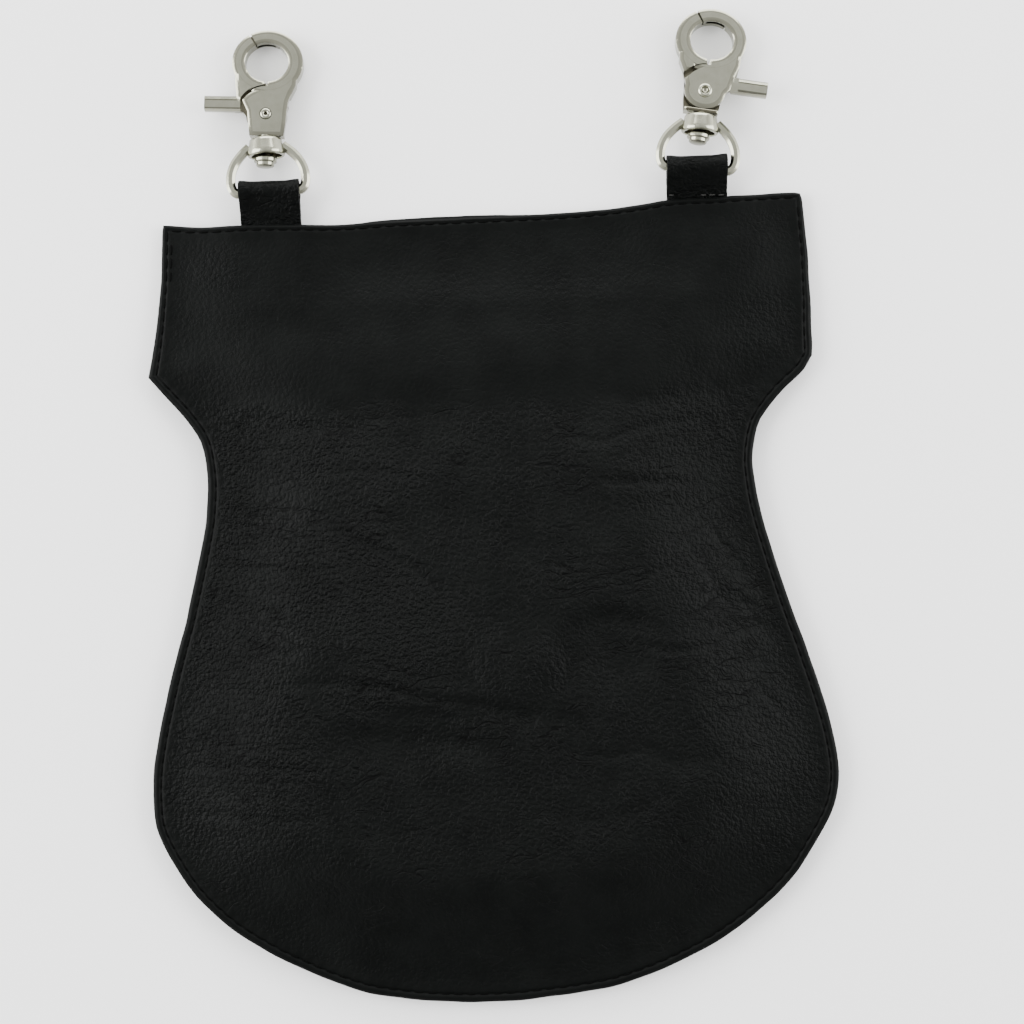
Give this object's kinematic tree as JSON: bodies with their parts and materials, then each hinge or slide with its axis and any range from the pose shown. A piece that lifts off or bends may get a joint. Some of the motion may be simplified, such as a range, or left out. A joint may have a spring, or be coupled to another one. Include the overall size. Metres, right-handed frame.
{
  "type": "clip-on belt bag",
  "caption": "Flat leather belt bag with a wide top band and a rounded body, closed by a tongue flap and hung from the belt by swivel hooks on short tabs.",
  "frame": {"origin": "on the flap's flat underside, near the middle of the bag, where it rests when it lies on its front", "axes": "+Y from the rounded bottom up to the clips, +X across the back panel to the right as it faces up, +Z out of the back panel"},
  "size_m": [0.2055, 0.2951, 0.0169],
  "materials": {
    "leather": "black pebbled, soft satin sheen",
    "nickel": "polished nickel plate"
  },
  "bodies": {
    "bag": {"back_panel": "leather", "front_panel": "leather", "flap": "leather", "closure_snap": "nickel", "tab_left": "leather", "tab_right": "leather"},
    "eye_left": {"eye_left": "nickel"},
    "hook_left": {"hook_left": "nickel", "rivet_left": "nickel"},
    "trigger_left": {"trigger_left": "nickel"},
    "eye_right": {"eye_right": "nickel"},
    "hook_right": {"hook_right": "nickel", "rivet_right": "nickel"},
    "trigger_right": {"trigger_right": "nickel"}
  },
  "joints": [
    {"name": "eye_left_hinge", "type": "hinge", "parent": "bag", "child": "eye_left", "pos_m": [-0.0614, 0.1243, 0.00655], "axis": [0.999, 0.0436, 0], "range_deg": [-90, 120]},
    {"name": "swivel_left", "type": "hinge", "parent": "eye_left", "child": "hook_left", "pos_m": [-0.06203, 0.13884, 0.00537], "axis": [0.0504, 0.9954, -0.0811], "continuous": true},
    {"name": "trigger_left_pivot", "type": "hinge", "parent": "hook_left", "child": "trigger_left", "pos_m": [-0.0616, 0.1474, 0.00467], "axis": [0.0041, 0.081, 0.9967], "range_deg": [0, 25], "stiffness_Nm_per_rad": 0.03, "springref_deg": -34.38},
    {"name": "eye_right_hinge", "type": "hinge", "parent": "bag", "child": "eye_right", "pos_m": [0.0665, 0.1266, 0.00785], "axis": [0.9934, -0.1149, 0], "range_deg": [-90, 120]},
    {"name": "swivel_right", "type": "hinge", "parent": "eye_right", "child": "hook_right", "pos_m": [0.06817, 0.14106, 0.0067], "axis": [0.1741, 0.9772, -0.1219], "continuous": true},
    {"name": "trigger_right_pivot", "type": "hinge", "parent": "hook_right", "child": "trigger_right", "pos_m": [0.06967, 0.14946, 0.00566], "axis": [-0.0214, -0.12, -0.9925], "range_deg": [0, 25], "stiffness_Nm_per_rad": 0.03, "springref_deg": -34.38}
  ]
}
